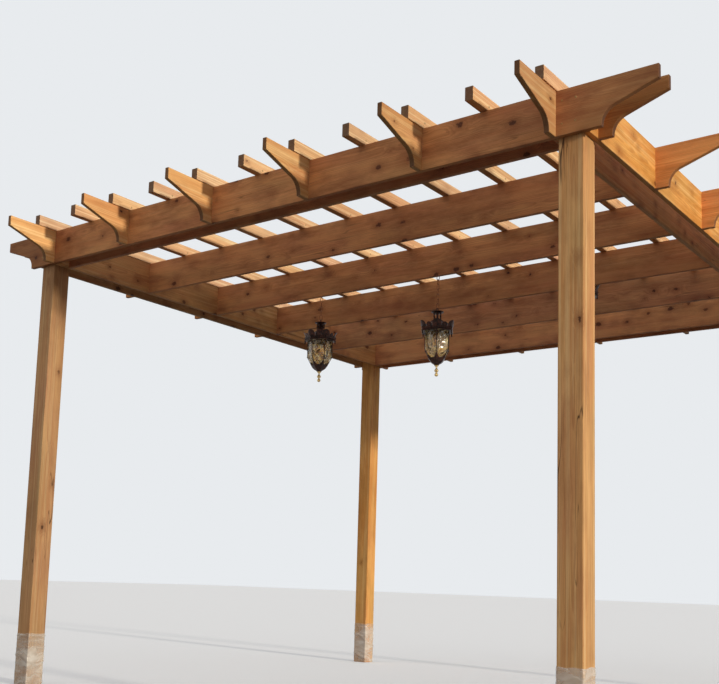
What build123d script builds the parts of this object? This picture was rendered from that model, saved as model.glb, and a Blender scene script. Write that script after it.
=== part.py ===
from build123d import *
import os

os.makedirs("parts", exist_ok=True)

# Wooden pergola, in millimetres. X runs along the front, Y runs from front to back, Z is up.
# The origin is on the ground at the middle of the plan.

# Timber sections
post_width = 110
post_edge_radius = 5
board_thickness = 24
beam_depth = 195
slat_width = 38
slat_depth = 60
board_edge = 1.5

# Layout
bay = 640
bay_count = 5
headroom = 2450
slat_overhang = 126

# Shaped ends of the beams and of the short tails. The last three are shares of the beam's depth.
side_tail_reach = 290
front_tail_reach = 316
tail_heel = 60
nose_share = 0.287
cove_height_share = 0.313
cove_radius_share = 0.38

# Packing film round the feet of the posts
film_thickness = 2
film_gap = 0.3
film_lift = 3
film_heights = {
    "front_left": 302,
    "front_right": 360,
    "back_left": 320,
    "back_right": 335,
}

# Hanging lanterns. The shift runs along the slat, and the turn is in degrees about the hanging line.
slat_count_to_lantern = {"left": 2, "middle": 5, "right": 8}
lantern_drops = {"left": 250, "middle": 310, "right": 235}
lantern_shifts = {"left": 40, "middle": 0, "right": -40}
lantern_turn_angles = {"left": 30, "middle": 0, "right": 12}
link_length = 40
link_width = 22
link_wire = 4
link_gap = 0.9
eye_diameter = 24
shank_shortest = 6
ring_radius = 12
ring_sink = 1
lantern_sides = 6
crown_radius = 111
crown_rim = 24
crown_rise = 48
crown_sheet = 2
crown_top_radius = 40
crown_lip = 8
neck_radius = 29
neck_height = 54
disc_radius = 39
disc_height = 7
glass_top_radius = 84
glass_bend_radius = 82
glass_foot_radius = 52
glass_upper_height = 112
glass_lower_height = 52
glass_wall = 3
glass_gap = 0.3
rib_width = 6
rib_depth = 5
band_height = 8
cup_height = 44
cup_waist_radius = 43
cup_waist_share = 0.5
cup_foot_radius = 18
cup_wall = 6
finial_stem_radius = 5
finial_stem_length = 60
finial_ball_radius = 12

# Places worked out from the sizes above. Lines are the centres of boards.
grid_half = bay * bay_count / 2
inner_face = grid_half - board_thickness / 2
post_x = grid_half + board_thickness / 2 + post_width / 2
post_y = inner_face + post_width / 2
outer_line_x = post_x + post_width / 2 + board_thickness / 2
outer_line_y = post_y + post_width / 2 + board_thickness / 2
frame_half_x = outer_line_x + board_thickness / 2
frame_half_y = outer_line_y + board_thickness / 2
beam_top = headroom + beam_depth
tail_nose = beam_depth * nose_share
cove_height = beam_depth * cove_height_share
cove_radius = beam_depth * cove_radius_share
tail_lines = [bay * step - grid_half for step in range(bay_count + 1)]
slat_pitch = bay / 2
slat_count = 2 * bay_count + 1
corners = {
    "front_left": (-post_x, -post_y),
    "front_right": (post_x, -post_y),
    "back_left": (-post_x, post_y),
    "back_right": (post_x, post_y),
}


def save(part, name):
    part.label = name
    export_step(part, "parts/" + name + ".step")


def shaped_end(root, direction, reach):
    """Corners of a shaped end from its heel up to its top, for a board whose root face is at root."""
    return [
        (root + direction * tail_heel, 0),
        (root + direction * tail_heel, cove_height),
        (root + direction * reach, beam_depth - tail_nose),
        (root + direction * reach, beam_depth),
    ]


def post(place):
    """Square post with lightly rounded edges, from the ground to the top of the beams."""
    with BuildPart() as upright:
        with BuildSketch(Plane.XY) as section:
            with Locations(place):
                RectangleRounded(post_width, post_width, post_edge_radius)
        extrude(amount=beam_top)
    return upright.part


def board_along_x(y, half_length, bottom, thickness, depth):
    """Square-cut board that runs along X, with its long edges eased."""
    with BuildPart() as board:
        with BuildSketch(Plane.YZ) as section:
            with Locations((y, bottom + depth / 2)):
                Rectangle(thickness, depth)
        extrude(amount=half_length, both=True)
        chamfer(board.edges().filter_by(Axis.X), board_edge)
    return board.part


def board_along_y(x, half_length, bottom, thickness, depth):
    """Square-cut board that runs along Y, with its long edges eased."""
    with BuildPart() as board:
        with BuildSketch(Plane.XZ) as section:
            with Locations((x, bottom + depth / 2)):
                Rectangle(thickness, depth)
        extrude(amount=half_length, both=True)
        chamfer(board.edges().filter_by(Axis.Y), board_edge)
    return board.part


def outer_beam(y):
    """Long outer beam along X, whose two ends run on past the sides as shaped tails."""
    with BuildPart() as beam:
        with BuildSketch(Plane((0, y, headroom), x_dir=(1, 0, 0), z_dir=(0, -1, 0))) as outline:
            with BuildLine():
                right_end = shaped_end(frame_half_x, 1, side_tail_reach)
                left_end = shaped_end(-frame_half_x, -1, side_tail_reach)
                Polyline(*right_end, *reversed(left_end), close=True)
            make_face()
            for knee in (right_end[1], left_end[1]):
                fillet(outline.vertices().sort_by_distance(knee)[0], cove_radius)
        extrude(amount=board_thickness / 2, both=True)
        chamfer(beam.faces().sort_by(Axis.Y)[0].edges(), board_edge)
        chamfer(beam.faces().sort_by(Axis.Y)[-1].edges(), board_edge)
    return beam.part


def tail(reach):
    """One short shaped tail that points along +X from a root face at X = 0."""
    with BuildPart() as short:
        with BuildSketch(Plane.XZ) as outline:
            with BuildLine():
                end = shaped_end(0, 1, reach)
                Polyline((0, 0), *end, (0, beam_depth), close=True)
            make_face()
            fillet(outline.vertices().sort_by_distance(end[1])[0], cove_radius)
        extrude(amount=board_thickness / 2, both=True)
        for cheek in (short.faces().sort_by(Axis.Y)[0], short.faces().sort_by(Axis.Y)[-1]):
            chamfer(cheek.edges().filter_by(lambda edge: edge.center().X > board_edge), board_edge)
    return short.part


def tail_row(one_tail, places, turn):
    """Row of like tails, each turned to point away from the frame."""
    with BuildPart() as row:
        for x, y in places:
            with Locations(Location((x, y, headroom), (0, 0, turn))):
                add(one_tail)
    return row.part


def film_wrap(place, height):
    """Sleeve of packing film round the foot of a post."""
    inside = post_width + 2 * film_gap
    outside = inside + 2 * film_thickness
    with BuildPart() as sleeve:
        with BuildSketch(Plane.XY.offset(film_lift)) as section:
            with Locations(place):
                RectangleRounded(outside, outside, post_edge_radius + film_gap + film_thickness)
                RectangleRounded(inside, inside, post_edge_radius + film_gap, mode=Mode.SUBTRACT)
        extrude(amount=height - film_lift)
    return sleeve.part


# Posts and the film round their feet
for corner, place in corners.items():
    save(post(place), "post_" + corner)
    save(film_wrap(place, film_heights[corner]), "film_wrap_" + corner)

# Outer beams on the front and back faces of the posts
for side, direction in (("front", -1), ("back", 1)):
    save(outer_beam(direction * outer_line_y), side + "_beam_outer")

# Inner beams and joists, all between the inner side boards
cross_names = ["front_beam_inner", "joist_1", "joist_2", "joist_3", "joist_4", "back_beam_inner"]
for name, line in zip(cross_names, tail_lines):
    save(board_along_x(line, inner_face, headroom, board_thickness, beam_depth), name)

# Side beams, one board on each side of the posts
side_half = outer_line_y - board_thickness / 2
for side, direction in (("left", -1), ("right", 1)):
    for layer, line in (("inner", grid_half), ("outer", outer_line_x)):
        board = board_along_y(direction * line, side_half, headroom, board_thickness, beam_depth)
        save(board, side + "_beam_" + layer)

# Rows of short tails on the four outer faces
front_tail = tail(front_tail_reach)
side_tail = tail(side_tail_reach)
save(tail_row(front_tail, [(line, -frame_half_y) for line in tail_lines], -90), "front_tails")
save(tail_row(front_tail, [(line, frame_half_y) for line in tail_lines], 90), "back_tails")
save(tail_row(side_tail, [(frame_half_x, line) for line in tail_lines], 0), "right_tails")
save(tail_row(side_tail, [(-frame_half_x, line) for line in tail_lines], 180), "left_tails")

# Slats across the top, from front to back
slat_lines = [slat_pitch * step - grid_half for step in range(slat_count)]
for number, line in enumerate(slat_lines, start=1):
    slat = board_along_y(line, frame_half_y + slat_overhang, beam_top, slat_width, slat_depth)
    save(slat, f"slat_{number:02d}")


# Each lantern is drawn with its hanging line on the Z axis, and then moved under its slat

def hexagon_at(height, radius):
    """Six-sided outline on a level plane."""
    with BuildSketch(Plane.XY.offset(height)) as outline:
        RegularPolygon(radius, lantern_sides)
    return outline.sketch


def level_disc(height, radius):
    """Round outline on a level plane."""
    with BuildSketch(Plane.XY.offset(height)) as outline:
        Circle(radius)
    return outline.sketch


def chain(ring_inside):
    """Screw eye under a slat and the links that hang from it, down to the lantern's ring."""
    pitch = link_length - 2 * link_wire - link_gap
    eye_height = eye_diameter - 2 * link_wire
    free_height = beam_top - shank_shortest - eye_height - 2 * link_wire - ring_inside
    link_total = int(free_height / pitch)
    lowest = ring_inside + link_length / 2 - link_wire - link_gap
    eye_inside = lowest + (link_total - 1) * pitch + link_length / 2 - link_wire - link_gap
    planes = [Plane.XZ, Plane.YZ]
    with BuildPart() as links:
        for step in range(link_total):
            with BuildSketch(planes[step % 2]) as ring:
                with Locations((0, lowest + step * pitch)):
                    SlotOverall(link_length, link_width, rotation=90)
                    void_length = link_length - 2 * link_wire
                    void_width = link_width - 2 * link_wire
                    SlotOverall(void_length, void_width, rotation=90, mode=Mode.SUBTRACT)
            extrude(amount=link_wire / 2, both=True)
        eye_middle = eye_inside + eye_height / 2
        with BuildSketch(planes[link_total % 2]) as eye:
            with Locations((0, eye_middle)):
                Circle(eye_diameter / 2)
                Circle(eye_height / 2, mode=Mode.SUBTRACT)
        extrude(amount=link_wire / 2, both=True)
        shank_foot = eye_middle + eye_diameter / 2 - link_wire / 2
        extrude(level_disc(shank_foot, link_wire / 2), amount=beam_top - shank_foot)
    return links.part


def lantern_rib(rim_foot, bend, cup_top):
    """Metal rib along one corner of the glass, in the XZ plane."""
    inner_line = [
        (glass_top_radius + glass_gap, rim_foot),
        (glass_bend_radius + glass_gap, bend),
        (glass_foot_radius + glass_gap, cup_top),
    ]
    outer_line = [(radius + rib_depth, height) for radius, height in reversed(inner_line)]
    with BuildPart() as rib:
        with BuildSketch(Plane.XZ) as strip:
            with BuildLine():
                Polyline(*inner_line, *outer_line, close=True)
            make_face()
        extrude(amount=rib_width / 2, both=True)
    return rib.part


def lantern_frame(top):
    """Metal frame of one lantern: ring, disc, neck, crown, ribs, bend band, cup and finial."""
    neck_foot = top - disc_height - neck_height
    rim_top = neck_foot - crown_rise
    rim_foot = rim_top - crown_rim
    bend = rim_foot - glass_gap - glass_upper_height
    cup_top = bend - glass_lower_height - glass_gap
    cup_waist = cup_top - cup_height * cup_waist_share
    cup_foot = cup_top - cup_height
    with BuildPart() as frame:
        with BuildSketch(Plane.YZ) as ring:
            with Locations((0, top + ring_radius - ring_sink)):
                Circle(ring_radius)
                Circle(ring_radius - link_wire, mode=Mode.SUBTRACT)
        extrude(amount=link_wire / 2, both=True)
        extrude(level_disc(top - disc_height, disc_radius), amount=disc_height)
        extrude(level_disc(neck_foot, neck_radius), amount=neck_height)
        loft([hexagon_at(rim_top, crown_radius), hexagon_at(neck_foot, crown_top_radius)])
        extrude(hexagon_at(rim_foot, crown_radius), amount=crown_rim)

        # The crown and the neck are sheet metal, open to the glass below.
        inside = crown_radius - crown_sheet
        roof_inside = neck_foot - crown_sheet
        neck_void = level_disc(roof_inside, neck_radius - crown_sheet)
        roof_void = [hexagon_at(rim_top, inside), hexagon_at(roof_inside, crown_top_radius - crown_sheet)]
        rim_void = hexagon_at(rim_foot + crown_sheet, inside)
        lip_void = hexagon_at(rim_foot, glass_top_radius - crown_lip)
        extrude(neck_void, amount=neck_height + crown_sheet, mode=Mode.SUBTRACT)
        loft(roof_void, mode=Mode.SUBTRACT)
        extrude(rim_void, amount=crown_rim - crown_sheet, mode=Mode.SUBTRACT)
        extrude(lip_void, amount=crown_sheet, mode=Mode.SUBTRACT)

        # One rib down each corner of the glass, bent where the glass bends
        rib = lantern_rib(rim_foot, bend, cup_top)
        with PolarLocations(0, lantern_sides):
            add(rib)

        # Band round the bend of the glass
        band_foot = bend - band_height / 2
        band_void = hexagon_at(band_foot, glass_bend_radius + glass_gap)
        extrude(hexagon_at(band_foot, glass_bend_radius + rib_depth), amount=band_height)
        extrude(band_void, amount=band_height, mode=Mode.SUBTRACT)

        # Rounded cup under the glass and the finial below it
        cup_radius = glass_foot_radius + glass_gap + rib_depth
        cup_mouth = glass_foot_radius - cup_wall
        loft([hexagon_at(cup_top, cup_radius), hexagon_at(cup_waist, cup_waist_radius)])
        loft([hexagon_at(cup_waist, cup_waist_radius), hexagon_at(cup_foot, cup_foot_radius)])
        waist_void = hexagon_at(cup_waist, cup_waist_radius - cup_wall)
        floor_void = hexagon_at(cup_foot + cup_wall, cup_foot_radius - cup_wall)
        loft([hexagon_at(cup_top, cup_mouth), waist_void], mode=Mode.SUBTRACT)
        loft([waist_void, floor_void], mode=Mode.SUBTRACT)
        extrude(level_disc(cup_foot - finial_stem_length, finial_stem_radius), amount=finial_stem_length)
        with Locations((0, 0, cup_foot - finial_stem_length)):
            Sphere(finial_ball_radius)
    return frame.part


def lantern_glass(top):
    """Six-sided glass of one lantern, bent inwards near its foot and open at both ends."""
    glass_top = top - disc_height - neck_height - crown_rise - crown_rim - glass_gap
    bend = glass_top - glass_upper_height
    foot = bend - glass_lower_height
    with BuildPart() as glass:
        for wall, way in ((0, Mode.ADD), (glass_wall, Mode.SUBTRACT)):
            at_top = hexagon_at(glass_top, glass_top_radius - wall)
            at_bend = hexagon_at(bend, glass_bend_radius - wall)
            at_foot = hexagon_at(foot, glass_foot_radius - wall)
            loft([at_top, at_bend], mode=way)
            loft([at_bend, at_foot], mode=way)
    return glass.part


def hung(part, place, turn):
    """Part moved under its slat and turned about its hanging line."""
    with BuildPart() as moved:
        with Locations(Location(place, (0, 0, turn))):
            add(part)
    return moved.part


for side, count in slat_count_to_lantern.items():
    top = beam_top - lantern_drops[side]
    ring_inside = top - ring_sink + 2 * ring_radius - link_wire
    place = (slat_lines[count], lantern_shifts[side], 0)
    turn = lantern_turn_angles[side]
    save(hung(chain(ring_inside), place, turn), "lantern_chain_" + side)
    save(hung(lantern_frame(top), place, turn), "lantern_frame_" + side)
    save(hung(lantern_glass(top), place, turn), "lantern_glass_" + side)
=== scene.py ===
import math
import random

import bmesh
import bpy
from mathutils import Matrix, Vector, noise


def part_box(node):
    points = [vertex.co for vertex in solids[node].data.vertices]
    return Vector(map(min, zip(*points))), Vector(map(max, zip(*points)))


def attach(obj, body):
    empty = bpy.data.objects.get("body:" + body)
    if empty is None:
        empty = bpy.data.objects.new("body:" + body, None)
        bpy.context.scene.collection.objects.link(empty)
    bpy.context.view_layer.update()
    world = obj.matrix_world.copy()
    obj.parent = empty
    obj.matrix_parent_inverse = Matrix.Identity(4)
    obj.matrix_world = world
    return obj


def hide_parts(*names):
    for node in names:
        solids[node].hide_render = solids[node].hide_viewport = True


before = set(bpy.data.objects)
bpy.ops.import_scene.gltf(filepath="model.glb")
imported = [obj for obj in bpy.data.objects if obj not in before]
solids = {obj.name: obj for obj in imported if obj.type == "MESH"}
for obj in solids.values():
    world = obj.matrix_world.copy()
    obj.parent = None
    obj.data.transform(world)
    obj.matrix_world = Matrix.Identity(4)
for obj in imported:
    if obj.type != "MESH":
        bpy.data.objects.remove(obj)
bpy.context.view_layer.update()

# Sizes in metres, in the frame of the solids: X along the front, Y to the back, Z up
BAY = 0.64
BAY_COUNT = 5
BEAM_UNDERSIDE = 2.45
BEAM_TOP = 2.645
POST_WIDTH = 0.110
SIDES = ("left", "middle", "right")
CORNERS = ("front_left", "front_right", "back_left", "back_right")
dice = random.Random(41)


# Colours

def linear(red, green, blue, alpha=1.0):
    """Colour from the usual 0 to 255 values of a paint chart, as light values."""
    def straight(value):
        value /= 255
        return value / 12.92 if value <= 0.04045 else ((value + 0.055) / 1.055) ** 2.4
    return (straight(red), straight(green), straight(blue), alpha)


HONEY = linear(240, 192, 128)
RING_BROWN = linear(186, 124, 74)
KNOT_RED = linear(96, 50, 27)
KNOT_BLACK = linear(44, 23, 14)
OIL_STAIN = linear(208, 142, 82)
CLOUD_BROWN = linear(138, 80, 44)
RED_OIL = linear(255, 222, 190)
OLIVE_TINT = linear(178, 146, 92)
ROSE_TINT = linear(206, 132, 98)
SAPWOOD = linear(248, 216, 160)
END_BROWN = linear(84, 52, 34)
CRACK_DARK = linear(44, 26, 16)


# Shader wiring

class Wiring:
    """Short calls that place nodes in one tree and join their sockets."""

    def __init__(self, tree):
        self.tree = tree

    def node(self, kind, **settings):
        made = self.tree.nodes.new(kind)
        for name, value in settings.items():
            setattr(made, name, value)
        return made

    def feed(self, socket, value):
        if isinstance(value, bpy.types.NodeSocket):
            self.tree.links.new(value, socket)
        else:
            socket.default_value = value

    def math(self, operation, *values, clamp=False):
        made = self.node("ShaderNodeMath", operation=operation, use_clamp=clamp)
        for socket, value in zip(made.inputs, values):
            self.feed(socket, value)
        return made.outputs[0]

    def split(self, vector):
        made = self.node("ShaderNodeSeparateXYZ")
        self.feed(made.inputs[0], vector)
        return made.outputs

    def join(self, x, y, z):
        made = self.node("ShaderNodeCombineXYZ")
        for socket, value in zip(made.inputs, (x, y, z)):
            self.feed(socket, value)
        return made.outputs[0]

    def stretch(self, vector, scale, shift=(0, 0, 0)):
        made = self.node("ShaderNodeMapping")
        self.feed(made.inputs["Vector"], vector)
        self.feed(made.inputs["Scale"], scale)
        self.feed(made.inputs["Location"], shift)
        return made.outputs[0]

    def noise(self, vector, scale=1.0, detail=2.0, roughness=0.5):
        made = self.node("ShaderNodeTexNoise")
        self.feed(made.inputs["Vector"], vector)
        self.feed(made.inputs["Scale"], scale)
        self.feed(made.inputs["Detail"], detail)
        self.feed(made.inputs["Roughness"], roughness)
        return made.outputs[0]

    def span(self, value, low, high, to_low=0.0, to_high=1.0):
        made = self.node("ShaderNodeMapRange", clamp=True)
        for name, number in (("From Min", low), ("From Max", high), ("To Min", to_low), ("To Max", to_high)):
            self.feed(made.inputs[name], number)
        self.feed(made.inputs["Value"], value)
        return made.outputs[0]

    def mix(self, share, first, second, blend="MIX"):
        made = self.node("ShaderNodeMix", data_type="RGBA", blend_type=blend)
        self.feed(made.inputs[0], share)
        self.feed(made.inputs[6], first)
        self.feed(made.inputs[7], second)
        return made.outputs[2]

    def ramp(self, value, stops):
        made = self.node("ShaderNodeValToRGB")
        bar = made.color_ramp.elements
        while len(bar) < len(stops):
            bar.new(0.5)
        for element, (place, level) in zip(bar, stops):
            element.position = place
            element.color = (level, level, level, 1)
        self.feed(made.inputs[0], value)
        return made.outputs[0]


def new_group(name, inputs, outputs):
    """Node group with its wiring, the sockets that it is given and those that it gives out."""
    group = bpy.data.node_groups.new(name, "ShaderNodeTree")
    for label, kind, value in inputs:
        socket = group.interface.new_socket(label, in_out="INPUT", socket_type="NodeSocket" + kind)
        if value is not None:
            socket.default_value = value
    for label, kind in outputs:
        group.interface.new_socket(label, in_out="OUTPUT", socket_type="NodeSocket" + kind)
    wires = Wiring(group)
    return group, wires, wires.node("NodeGroupInput").outputs, wires.node("NodeGroupOutput").inputs


PITH_DRIFT = 0.05
RING_WAVE = 0.013
KNOT_SWELL = 0.014
NATURAL_BASE = 2.718


def pine_group():
    """Sawn pine: growth rings round a pith, fibres, knots that bend the rings, stains and drying cracks."""
    group, w, given, out = new_group(
        "sawn_pine",
        [("Ring Place", "Vector", None), ("Board Place", "Vector", None), ("Pith Y", "Float", 0.05),
         ("Pith Z", "Float", 0.0), ("Ring Width", "Float", 0.0045), ("Knot Spacing", "Float", 0.15),
         ("Knot Depth", "Float", 0.3), ("Crack Amount", "Float", 0.3), ("End Grain", "Float", 0.0),
         ("Tone", "Float", 1.0), ("Warmth", "Float", 1.0), ("Red Oil", "Float", 0.5),
         ("Clouding", "Float", 0.5), ("Pale Streaks", "Float", 0.2)],
        [("Color", "Color"), ("Roughness", "Float"), ("Height", "Float")],
    )
    place = given["Board Place"]

    # Knots run through the board's thickness, each with its own size and darkness
    ragged = w.math("MULTIPLY", w.math("SUBTRACT", w.noise(place, 38, 4, 0.65), 0.5), 0.030)
    along, across, up = w.split(place)
    cells = w.node("ShaderNodeTexVoronoi")
    along_grain = w.math("ADD", w.math("MULTIPLY", along, 0.72), ragged)
    w.feed(cells.inputs["Vector"], w.join(along_grain, w.math("MULTIPLY", across, given["Knot Depth"]), up))
    w.feed(cells.inputs["Scale"], w.math("DIVIDE", 1.0, given["Knot Spacing"]))
    kind = w.split(cells.outputs["Color"])
    wobble = w.math("MULTIPLY", w.math("SUBTRACT", w.noise(place, 110), 0.5), 0.010)
    away = w.math("ADD", w.math("MULTIPLY", cells.outputs["Distance"], given["Knot Spacing"]), wobble)
    size = w.span(w.math("POWER", kind[0], 1.4), 0.0, 1.0, 0.004, 0.014)
    darkness = w.span(kind[1], 0.0, 1.0, 0.55, 1.0)
    within = w.math("DIVIDE", away, size)
    knot = w.math("MULTIPLY", w.span(within, 1.30, 0.72), darkness)
    rim = w.math("MULTIPLY", knot, w.span(within, 0.5, 0.95))
    spread = w.math("DIVIDE", away, w.math("ADD", w.math("MULTIPLY", size, 1.9), 0.010))
    halo = w.math("POWER", NATURAL_BASE, w.math("MULTIPLY", w.math("POWER", spread, 2.0), -1.0))

    # Growth rings
    _, y, z = w.split(given["Ring Place"])
    drift = w.noise(w.stretch(place, (0.7, 1.5, 1.5)), detail=1)
    y = w.math("ADD", w.math("SUBTRACT", y, given["Pith Y"]), w.math("MULTIPLY", drift, PITH_DRIFT))
    z = w.math("SUBTRACT", z, given["Pith Z"])
    radius = w.math("SQRT", w.math("ADD", w.math("MULTIPLY", y, y), w.math("MULTIPLY", z, z)))
    wave = w.math("SUBTRACT", w.noise(w.stretch(place, (2.2, 13, 13)), detail=3), 0.5)
    radius = w.math("ADD", radius, w.math("MULTIPLY", wave, RING_WAVE))
    radius = w.math("ADD", radius, w.math("MULTIPLY", halo, KNOT_SWELL))
    ring = w.math("FRACT", w.math("DIVIDE", radius, given["Ring Width"]))
    late = w.ramp(ring, ((0.0, 0.0), (0.35, 0.10), (0.80, 0.9), (0.90, 1.0), (1.0, 0.0)))

    fibre = w.noise(w.stretch(place, (9, 420, 420)), detail=2, roughness=0.6)
    streak = w.noise(w.stretch(place, (1.6, 34, 34), (3, 1, 2)), detail=3)
    blotch = w.noise(w.stretch(place, (1.1, 5, 5), (7, 2, 4)), detail=2)
    cloud = w.noise(w.stretch(place, (3.0, 11, 11), (5, 9, 6)), detail=5, roughness=0.65)
    hue = w.noise(w.stretch(place, (1.6, 7, 7), (1, 3, 8)), detail=2)
    pale = w.noise(w.stretch(place, (0.7, 70, 70), (6, 2, 1)), detail=3, roughness=0.6)

    # Drying cracks run with the grain
    split_line = w.noise(w.stretch(place, (1.4, 30, 30), (11, 5, 9)), detail=1)
    near = w.math("ABSOLUTE", w.math("SUBTRACT", split_line, 0.5))
    where = w.span(w.noise(w.stretch(place, (1.5, 6, 6), (2, 8, 3)), detail=1), 0.56, 0.66)
    crack = w.math("MULTIPLY", w.span(near, 0.012, 0.002), w.math("MULTIPLY", where, given["Crack Amount"]))

    colour = w.mix(w.span(streak, 0.3, 0.72, 0.0, 0.7), HONEY, OIL_STAIN)
    colour = w.mix(w.math("MULTIPLY", late, w.span(blotch, 0.3, 0.7, 0.25, 0.7)), colour, RING_BROWN)
    colour = w.mix(w.span(hue, 0.52, 0.72, 0.0, 0.45), colour, OLIVE_TINT)
    colour = w.mix(w.span(hue, 0.48, 0.28, 0.0, 0.42), colour, ROSE_TINT)
    colour = w.mix(w.math("MULTIPLY", w.span(pale, 0.50, 0.66), given["Pale Streaks"]), colour, SAPWOOD)
    colour = w.mix(w.span(blotch, 0.48, 0.75, 0.0, 0.45), colour, RING_BROWN)
    colour = w.mix(w.math("MULTIPLY", w.span(cloud, 0.46, 0.70), given["Clouding"]), colour, CLOUD_BROWN)
    colour = w.mix(w.span(fibre, 0.35, 0.8, 0.0, 0.24), colour, KNOT_RED)
    colour = w.mix(w.math("MULTIPLY", halo, w.math("MULTIPLY", darkness, 0.70)), colour, CLOUD_BROWN)
    colour = w.mix(w.math("MULTIPLY", given["End Grain"], 0.85), colour, END_BROWN)
    turns = w.math("FRACT", w.math("MULTIPLY", within, 3.2))
    centre = w.mix(w.math("MULTIPLY", w.span(turns, 0.2, 0.9), kind[1]), KNOT_RED, KNOT_BLACK)
    colour = w.mix(knot, colour, centre)
    colour = w.mix(w.math("MULTIPLY", rim, 0.7), colour, KNOT_BLACK)
    colour = w.mix(crack, colour, CRACK_DARK)
    colour = w.mix(given["Red Oil"], colour, RED_OIL, "MULTIPLY")
    toned = w.node("ShaderNodeHueSaturation")
    w.feed(toned.inputs["Saturation"], given["Warmth"])
    w.feed(toned.inputs["Value"], given["Tone"])
    w.feed(toned.inputs["Color"], colour)
    w.feed(out["Color"], toned.outputs[0])

    rough = w.math("ADD", w.math("MULTIPLY", fibre, 0.2), w.math("MULTIPLY", late, -0.08))
    w.feed(out["Roughness"], w.math("ADD", rough, 0.6, clamp=True))
    height = w.math("ADD", w.math("MULTIPLY", late, 0.45), w.math("MULTIPLY", fibre, 0.55))
    height = w.math("ADD", height, w.math("MULTIPLY", crack, -3.0))
    height = w.math("ADD", height, w.math("MULTIPLY", rim, -1.0))
    w.feed(out["Height"], height)
    return group


SAWN_PINE = pine_group()


# Materials

def new_material(name):
    made = bpy.data.materials.new(name)
    made.use_nodes = True
    wires = Wiring(made.node_tree)
    return made, wires, made.node_tree.nodes["Principled BSDF"].inputs


def wear(wires, bsdf, height, strength, distance, layer="Normal"):
    """Fine relief of a surface, without any change of its shape."""
    bump = wires.node("ShaderNodeBump")
    bump.inputs["Strength"].default_value = strength
    bump.inputs["Distance"].default_value = distance
    wires.feed(bump.inputs["Height"], height)
    wires.feed(bsdf[layer], bump.outputs[0])


def dress(node, material):
    node.data.materials.clear()
    node.data.materials.append(material)


# Timber: the solids keep their shape and each gets its own cut of pine

def middle_of(node):
    low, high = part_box(node)
    return (low + high) / 2


def painted_light_fade(w, along, across, tone, drift):
    """Tone that changes evenly across a row of boards, outwards from its middle, or towards both ends:
    painted light and shade.
    """
    way, start, finish, first, last = drift
    if way == "across":
        spot = across
    elif way == "outwards":
        spot = w.math("ABSOLUTE", across)
    else:
        spot = w.math("ABSOLUTE", along)
    return w.span(spot, start, finish, tone * first, tone * last)


GRAIN_TURNS = {"x": (0, 0, 0), "y": (0, 0, -math.pi / 2), "z": (0, math.pi / 2, 0)}


def timber_material(name, grain, pith, tone, warmth, cut):
    """Material of one board or row of boards: its own cut of the log, with the grain along x, y or z."""
    made, w, bsdf = new_material("pine_" + name)
    # These shifts hold painted light and shade on some boards, as well as their own tone.
    tone += TONE_AND_PAINTED_LIGHT_SHIFTS.get(name, 0.0)
    warmth += WARMTH_AND_PAINTED_LIGHT_SHIFTS.get(name, 0.0)
    place = w.node("ShaderNodeMapping")
    w.feed(place.inputs["Vector"], w.node("ShaderNodeTexCoord").outputs["Object"])
    turn = GRAIN_TURNS[grain]
    place.inputs["Rotation"].default_value = turn
    middle = Matrix.Rotation(turn[2], 3, "Z") @ Matrix.Rotation(turn[1], 3, "Y") @ middle_of(name)
    place.inputs["Location"].default_value = (0, -middle.y, -middle.z)
    board = place.outputs[0]
    along, across, up = w.split(board)
    # Painted light and shade: the tone fades along or across the boards that have a fade.
    if name in PAINTED_LIGHT_FADES:
        tone = painted_light_fade(w, along, across, tone, PAINTED_LIGHT_FADES[name])
    rings = board
    if name.endswith("tails"):
        across = w.math("WRAP", w.math("ADD", across, BAY / 2), BAY / 2, -BAY / 2)
        rings = w.join(along, across, up)
    shift = tuple(dice.uniform(-9, 9) for _ in range(3))
    scattered = w.node("ShaderNodeVectorMath", operation="ADD")
    w.feed(scattered.inputs[0], board)
    w.feed(scattered.inputs[1], shift)
    facing = w.split(w.node("ShaderNodeTexCoord").outputs["Normal"])["xyz".index(grain)]
    pine = w.node("ShaderNodeGroup", node_tree=SAWN_PINE)
    own = {"Ring Place": rings, "Board Place": scattered.outputs[0], "Pith Y": pith[0], "Pith Z": pith[1],
           "End Grain": w.span(w.math("ABSOLUTE", facing), 0.30, 0.95), "Tone": tone, "Warmth": warmth}
    for label, value in {**cut, **own}.items():
        w.feed(pine.inputs[label], value)
    w.feed(bsdf["Base Color"], pine.outputs["Color"])
    w.feed(bsdf["Roughness"], pine.outputs["Roughness"])
    bsdf["Specular IOR Level"].default_value = 0.18
    wear(w, bsdf, pine.outputs["Height"], strength=0.5, distance=0.0006)
    return made


POST_CUT = {"Red Oil": 0.10, "Clouding": 0.34, "Pale Streaks": 0.50, "Knot Spacing": 0.170,
            "Knot Depth": 1.0, "Crack Amount": 0.90, "Ring Width": 0.0042}
SLAT_CUT = {"Red Oil": 0.0, "Clouding": 0.30, "Pale Streaks": 0.85, "Knot Spacing": 0.150,
            "Knot Depth": 0.5, "Crack Amount": 0.35, "Ring Width": 0.0038}
END_TAIL_CUT = {"Red Oil": 0.0, "Clouding": 0.25, "Pale Streaks": 0.50, "Knot Spacing": 0.120,
                "Knot Depth": 0.3, "Crack Amount": 0.30, "Ring Width": 0.0046}
SIDE_TAIL_CUT = {**END_TAIL_CUT, "Red Oil": 0.85, "Clouding": 0.40, "Pale Streaks": 0.30}
SIDE_BEAM_CUT = {"Red Oil": 0.20, "Clouding": 0.50, "Pale Streaks": 0.45, "Knot Spacing": 0.100,
                 "Knot Depth": 0.3, "Crack Amount": 0.40, "Ring Width": 0.0048}
CROSS_BOARD_CUT = {**SIDE_BEAM_CUT, "Red Oil": 0.90, "Clouding": 0.62, "Pale Streaks": 0.15,
                   "Knot Spacing": 0.095}
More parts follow.
